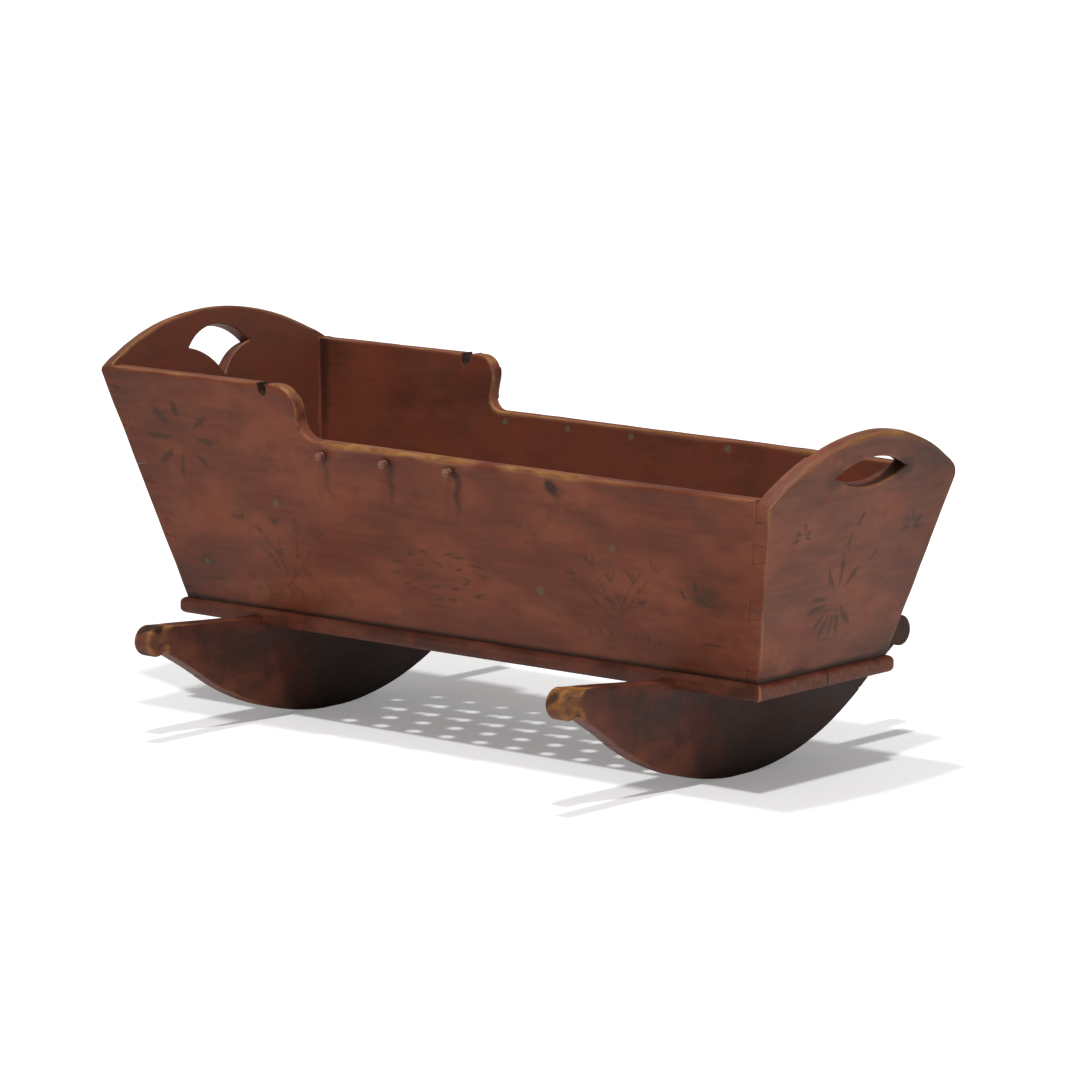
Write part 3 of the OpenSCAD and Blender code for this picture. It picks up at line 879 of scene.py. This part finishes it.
SIDE_TONES = tones((132, 73, 50), (114, 57, 36), (90, 42, 27), (110, 56, 39), (142, 92, 64))
# The end boards' tones are lighter and pinker than the sides', as a painted sheen
END_SHEEN_TONES = tones((142, 85, 64), (124, 69, 50), (96, 52, 37), (108, 57, 41), (146, 98, 72))
BASE_TONES = tones((108, 58, 41), (90, 46, 32), (56, 28, 18), (82, 42, 30), (136, 90, 70))
# The rockers' tones are darker than the box's paint, partly as painted shade under the base
ROCKER_SHADED_TONES = tones((108, 58, 42), (80, 44, 34), (42, 25, 19), (62, 35, 26), (112, 72, 50))


def painted_wood(name, sides, ends, ink_share):
    """Old paint over pine: streaks along the grain, rubbed edges, ornament, dirt and painted shade.
    """
    looks = Looks(name)
    place = looks.field("board", "Vector")
    wear, ink, pale, dirt_and_shade = (looks.field(n) for n in ("wear", "ink", "pale", "dirt_and_shade"))
    streaks = looks.grain(place, (8, 110, 110), 5.0, 0.6)
    fibres = looks.grain(place, (30, 600, 600), 4.0, 0.6)
    patches = looks.grain(place, (7, 15, 15), 3.0, 0.5)
    clouds = looks.grain(place, (22, 30, 30), 4.0, 0.6)
    smoke = looks.grain(place, (14, 26, 26), 5.0, 0.65)
    blush = looks.grain(place, (19, 12, 12), 4.0, 0.6)
    specks = looks.noise(place, 300.0, 4.0, 0.65)
    scuffs = looks.grain(place, (24, 120, 120), 6.0, 0.72)
    uneven = looks.math("SUBTRACT", scuffs, 0.5)

    end_face = looks.field("end_face")
    light, middle, dark, inner, thin = (
        looks.mix(end_face, side, end) for side, end in zip(sides, ends))

    paint = looks.layer(dark, middle, streaks, 0.15, 0.85)
    paint = looks.layer(paint, light, patches, 0.38, 0.66, 0.9)
    paint = looks.layer(paint, dark, clouds, 0.48, 0.68, 0.42)
    within = looks.layer(inner, dark, patches, 0.35, 0.70, 0.7)
    within = looks.layer(within, inner, clouds, 0.40, 0.70)
    paint = looks.mix(looks.field("inside"), paint, within)
    paint = looks.layer(paint, BRICK, blush, 0.48, 0.66, 0.34)
    paint = looks.layer(paint, SMOKE, smoke, 0.50, 0.68, 0.30)
    paint = looks.layer(paint, thin, specks, 0.58, 0.78, 0.30)
    paint = looks.layer(paint, INK, looks.plus(ink, uneven, 2.4), -0.1, 0.8, ink_share)
    paint = looks.layer(paint, PALE_INK, looks.plus(pale, uneven, 1.8), 0.0, 0.7, 0.5)

    bare = looks.plus(wear, uneven, 0.55)
    paint = looks.layer(paint, thin, bare, 0.22, 0.62, 0.7)
    wood = looks.layer(BROWN_WOOD, OCHRE, scuffs, 0.30, 0.62)
    wood = looks.layer(wood, PALE_OCHRE, clouds, 0.45, 0.65, 0.6)
    bare_share = looks.step(bare, 0.52, 0.78, 0.0, 0.9)
    colour = looks.mix(bare_share, paint, wood)
    # Dirt and painted shade darken the colour towards one dark brown
    colour = looks.layer(colour, GRIME_AND_SHADE, looks.plus(dirt_and_shade, uneven, 0.5), 0.12, 1.0, 0.85)
    colour = looks.mix(looks.step(fibres, 0.30, 0.46, 0.28, 0.0), colour, dark)

    height = looks.plus(looks.math("MULTIPLY", streaks, 0.8), fibres, 0.3)
    height = looks.plus(looks.plus(height, specks, 0.3), bare_share, -0.2)
    rough = looks.step(looks.plus(patches, specks, 0.5), 0.5, 1.0, 0.40, 0.62)
    return looks.finish(colour, rough, looks.bump(height, 0.4, 0.0006), 0.2)


def peg_wood():
    looks = Looks("peg_wood")
    place = looks.field("board", "Vector")
    fibres = looks.grain(place, (900, 900, 90), 4.0, 0.6)
    spots = looks.noise(place, 320.0, 3.0, 0.6)
    inward = looks.node("ShaderNodeSeparateXYZ", {}, {0: place}).outputs[2]
    # The pegs' light pinkish tone and pale spots are partly a painted highlight
    colour = looks.layer(tone(92, 54, 42), tone(134, 86, 70), fibres, 0.35, 0.65)
    colour = looks.layer(colour, tone(164, 118, 98), spots, 0.5, 0.7, 0.7)
    colour = looks.layer(colour, tone(96, 84, 66), inward, -0.015, -0.018)
    colour = looks.mix(looks.math("MULTIPLY", looks.field("dirt_and_shade"), 0.93), colour, GRIME_AND_SHADE)
    rough = looks.step(spots, 0.3, 0.7, 0.45, 0.65)
    return looks.finish(colour, rough, looks.bump(fibres, 0.5, 0.0005), 0.3)


def old_iron():
    looks = Looks("nail_iron")
    place = looks.node("ShaderNodeTexCoord", {}, {}).outputs["Object"]
    rust = looks.noise(place, 700.0, 5.0, 0.7)
    colour = looks.layer(tone(34, 30, 28), tone(88, 48, 28), rust, 0.4, 0.65)
    looks.shader.inputs["Metallic"].default_value = 0.35
    rough = looks.step(rust, 0.35, 0.65, 0.5, 0.85)
    return looks.finish(colour, rough, looks.bump(rust, 0.6, 0.0004), 0.4)


# The longest edges that each kind's mesh may keep, so that its ornament, dirt and painted shade stay
# crisp

BLANK = -2.0
OUTER_LONGEST, INNER_LONGEST = 0.0045, 0.010
RIM_LONGEST, DECK_LONGEST = 0.006, 0.02
SCROLL_LONGEST, BELLY_LONGEST = 0.0032, 0.012


def board_detail(x):
    outer = x.w > -0.002
    form = side_ornament if x.node in SIDES else end_ornament
    drawn = np.full(len(x.u), BLANK)
    drawn[outer] = form(x.u[outer], x.v[outer])
    longest = np.where(outer, OUTER_LONGEST, INNER_LONGEST)
    longest = np.where(drawn > -1.0, SHORTEST, longest)
    at_seam = (x.w < -0.016) & (x.from_head < 0.025) & (x.node == "side_far")
    return np.where(at_seam, SHORTEST, longest)


def plank_detail(x):
    at_seam = (np.abs(x.v) < 0.006) & (x.u > 0.42)
    longest = np.where(np.abs(x.v) > 0.115, RIM_LONGEST, DECK_LONGEST)
    return np.where(at_seam, SHORTEST, longest)


def rocker_detail(x):
    return np.where(np.abs(x.u) > SCROLL_OUT - 0.03, SCROLL_LONGEST, BELLY_LONGEST)


# The pieces

SHADING_ANGLE = math.radians(42)
RIM_LONG, RIM_WIDE = 0.43, 0.112
FLUSH_DEPTH = 0.006


def make_piece(name, points, triangles, fields, material, replaced):
    """A Blender object from plain arrays, with values at its triangles' corners for its looks."""
    mesh = bpy.data.meshes.new(name)
    mesh.from_pydata(points.tolist(), [], triangles.tolist())
    mesh.update()
    for field, values in fields.items():
        kind, part = ("FLOAT", "value") if values.ndim == 1 else ("FLOAT_VECTOR", "vector")
        mesh.attributes.new(field, kind, "CORNER").data.foreach_set(
            part, values.astype(np.float32).ravel())
    mesh.polygons.foreach_set("use_smooth", np.ones(len(mesh.polygons), bool))
    mesh.set_sharp_from_angle(angle=SHADING_ANGLE)
    mesh.materials.append(material)
    piece = bpy.data.objects.new(name, mesh)
    bpy.context.scene.collection.objects.link(piece)
    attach(piece, "root")
    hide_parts(replaced)
    return piece


class Kind:
    """How one kind of piece wears and what is painted on it."""

    def __init__(self, nodes, slot, material, radius, wear, kept, detail, ink, pale, dirt_and_shade):
        self.nodes, self.slot, self.material = nodes, slot, material
        self.radius, self.wear, self.kept, self.detail = radius, wear, kept, detail
        self.ink, self.pale, self.dirt_and_shade = ink, pale, dirt_and_shade


def everywhere(place):
    return np.ones(len(place), bool)


def plank_rim(place):
    at_side = np.abs(place[:, 1]) > RIM_WIDE
    return at_side | (np.abs(place[:, 0] - BOX_MIDDLE) > RIM_LONG)


side_paint = painted_wood("worn_side_paint", SIDE_TONES, END_SHEEN_TONES, 0.62)
end_paint = painted_wood("worn_end_paint", SIDE_TONES, END_SHEEN_TONES, 0.62)
base_paint = painted_wood("worn_base_paint", BASE_TONES, BASE_TONES, 0.5)
rocker_paint = painted_wood("worn_rocker_paint", ROCKER_SHADED_TONES, ROCKER_SHADED_TONES, 0.5)

KINDS = (
    Kind(SIDES, "side_paint", side_paint, board_radius, side_wear, everywhere, board_detail,
         side_ornament, side_pale, side_dirt_and_shade),
    Kind(ENDS, "end_paint", end_paint, board_radius, end_wear, everywhere, board_detail,
         end_ornament, end_pale, end_dirt_and_shade),
    Kind(PLANKS, "base_paint", base_paint, plank_radius, plank_wear, plank_rim, plank_detail,
         None, None, plank_dirt_and_shade),
    Kind(ROCKERS, "rocker_paint", rocker_paint, rocker_radius, rocker_wear, everywhere,
         rocker_detail, None, None, rocker_dirt_and_shade),
)


def kind_of(node):
    return next(kind for kind in KINDS if node in kind.nodes)


def values_at(kind, x):
    """What the material of one kind reads at each point of a surface."""
    values = {"board": x.place, "wear": kind.wear(x), "dirt_and_shade": kind.dirt_and_shade(x),
              "inside": ramp(x.outward, -0.6, -0.9),
              "end_face": np.full(len(x.u), float(x.node in ENDS))}
    for name, form in (("ink", kind.ink), ("pale", kind.pale)):
        drawn = form(x.u, x.v) if form else np.full(len(x.u), BLANK)
        values[name] = np.maximum(np.where(x.outward > 0.5, drawn, BLANK), BLANK)
    return values


for kind in KINDS:
    for node in kind.nodes:
        triangles, x = worn(node, board_of(node), kind.radius, kind.kept, kind.detail)
        corner = triangles.ravel()
        normals = np.repeat(face_normals(x.points, triangles), 3, axis=0)
        fields = {name: values[corner] for name, values in values_at(kind, x).items()}
        # A face of a joint that is flush with the other board takes that board's paint
        for other in neighbours(node):
            board = board_of(other)
            flush = board.places(x.points)[corner, 2] > -FLUSH_DEPTH
            shown = (normals @ board.axes[2] > 0.8) & flush
            used, back = np.unique(corner[shown], return_inverse=True)
            part = Surface(other, board, x.points[used], x.near_edge[used], x.facing[used])
            for name, values in values_at(kind_of(other), part).items():
                fields[name][shown] = values[back]
        make_piece(node + "_worn", x.points, triangles, fields, kind.material, node)

# Pegs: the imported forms, whittled to flats and roughened

WHITTLE_TURN = math.pi / 7
KNOB_START, KNOB_FULL = 0.0005, 0.003
KNOB_SIZE, KNOB_ROUGHNESS = 0.95, 0.05
TURN_BY_PLACE = 5

peg_looks = peg_wood()
for node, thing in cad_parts.items():
    if not node.startswith("peg"):
        continue
    side = board_of("side_near" if "near" in node else "side_far")
    points, triangles = cut_mesh(thing.data, PEG_SPACING)
    middle = np.append(points.mean(0)[:1], side.origin[1:] + PEG_UP * side.axes[1][1:])
    place = (points - middle) @ side.axes.T
    turn = np.arctan2(place[:, 1], place[:, 0]) + TURN_BY_PLACE * middle[0]
    in_flat = (turn + WHITTLE_TURN) % (2 * WHITTLE_TURN) - WHITTLE_TURN
    chord = math.cos(WHITTLE_TURN) / np.cos(in_flat)
    knob = ramp(place[:, 2], KNOB_START, KNOB_FULL)
    uneven = KNOB_SIZE + KNOB_ROUGHNESS * waves(points, 0.006, 31)
    shrink = 1 - knob * (1 - chord * uneven)
    carved = np.column_stack([place[:, 0] * shrink, place[:, 1] * shrink, place[:, 2]])
    soiled = np.full(triangles.size, float(node.endswith("stub")))
    make_piece(node + "_whittled", middle + carved @ side.axes, triangles,
               {"board": place[triangles.ravel()], "dirt_and_shade": soiled}, peg_looks, node)

iron = old_iron()
for node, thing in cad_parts.items():
    if node.startswith("nails"):
        thing.data.materials.clear()
        thing.data.materials.append(iron)

# Camera

CAMERA_AZIMUTH, CAMERA_RISE, CAMERA_ROLL = map(math.radians, (39.624, 9.213, 0.270))
CAMERA_DISTANCE = 6.3647
CAMERA_FOCUS = 5327.1 / 1080
CAMERA_TARGET = Vector((-0.0022, 0.03603, 0.2349))
SENSOR = 36

back = Vector((math.sin(CAMERA_AZIMUTH) * math.cos(CAMERA_RISE),
               -math.cos(CAMERA_AZIMUTH) * math.cos(CAMERA_RISE), math.sin(CAMERA_RISE)))
right = Vector((math.cos(CAMERA_AZIMUTH), math.sin(CAMERA_AZIMUTH), 0))
up = back.cross(right)
level = right * math.cos(CAMERA_ROLL) + up * math.sin(CAMERA_ROLL)
upright = up * math.cos(CAMERA_ROLL) - right * math.sin(CAMERA_ROLL)
camera = bpy.data.objects.new("camera", bpy.data.cameras.new("camera"))
bpy.context.scene.collection.objects.link(camera)
camera.data.sensor_width = SENSOR
camera.data.lens = CAMERA_FOCUS * SENSOR
stand = Matrix((level, upright, back)).transposed().to_4x4()
stand.translation = CAMERA_TARGET + back * CAMERA_DISTANCE
camera.matrix_world = stand
bpy.context.scene.camera = camera

# Floor

FLOOR_HALF = 30
FLOOR_WHITE = (0.93, 0.93, 0.93, 1)
FLOOR_LIFT = 0.22

floor_mesh = bpy.data.meshes.new("floor")
floor_mesh.from_pydata([(-FLOOR_HALF, -FLOOR_HALF, 0), (FLOOR_HALF, -FLOOR_HALF, 0),
                        (FLOOR_HALF, FLOOR_HALF, 0), (-FLOOR_HALF, FLOOR_HALF, 0)],
                       [], [(0, 1, 2, 3)])
floor = bpy.data.objects.new("floor", floor_mesh)
bpy.context.scene.collection.objects.link(floor)
floor_looks = Looks("floor")
seen = floor_looks.node("ShaderNodeLightPath", {}, {}).outputs["Is Camera Ray"]
for socket, value in (("Base Color", FLOOR_WHITE), ("Roughness", 0.9),
                      ("Specular IOR Level", 0.0), ("Emission Color", (1, 1, 1, 1)),
                      ("Emission Strength", floor_looks.math("MULTIPLY", seen, FLOOR_LIFT))):
    floor_looks.put(floor_looks.shader.inputs[socket], value)
floor_mesh.materials.append(floor_looks.material)

# Light: a weak white world that the camera sees as plain white, and two suns

WORLD_LIGHT = 0.27
SUN_SPREAD = math.radians(4.0)

world = bpy.data.worlds.new("studio")
bpy.context.scene.world = world
world.use_nodes = True
tree = world.node_tree
path = tree.nodes.new("ShaderNodeLightPath")
seen = tree.nodes.new("ShaderNodeMath")
seen.operation = "MAXIMUM"
tree.links.new(path.outputs["Is Camera Ray"], seen.inputs[0])
tree.links.new(path.outputs["Is Transmission Ray"], seen.inputs[1])
strength = tree.nodes.new("ShaderNodeMapRange")
tree.links.new(seen.outputs[0], strength.inputs["Value"])
strength.inputs["To Min"].default_value = WORLD_LIGHT
strength.inputs["To Max"].default_value = 1.0
tree.links.new(strength.outputs[0], tree.nodes["Background"].inputs["Strength"])
tree.nodes["Background"].inputs["Color"].default_value = (1, 1, 1, 1)


def lamp(name, toward, strength):
    sun = bpy.data.objects.new(name, bpy.data.lights.new(name, "SUN"))
    sun.data.energy = strength
    sun.data.angle = SUN_SPREAD
    sun.rotation_mode = "QUATERNION"
    sun.rotation_quaternion = Vector(toward).to_track_quat("Z", "Y")
    bpy.context.scene.collection.objects.link(sun)


lamp("main_lamp", (0.33, -0.46, 1.0), 1.6)
lamp("top_lamp", (0.0, -0.11, 1.0), 1.35)

bpy.context.scene.view_settings.view_transform = "Standard"
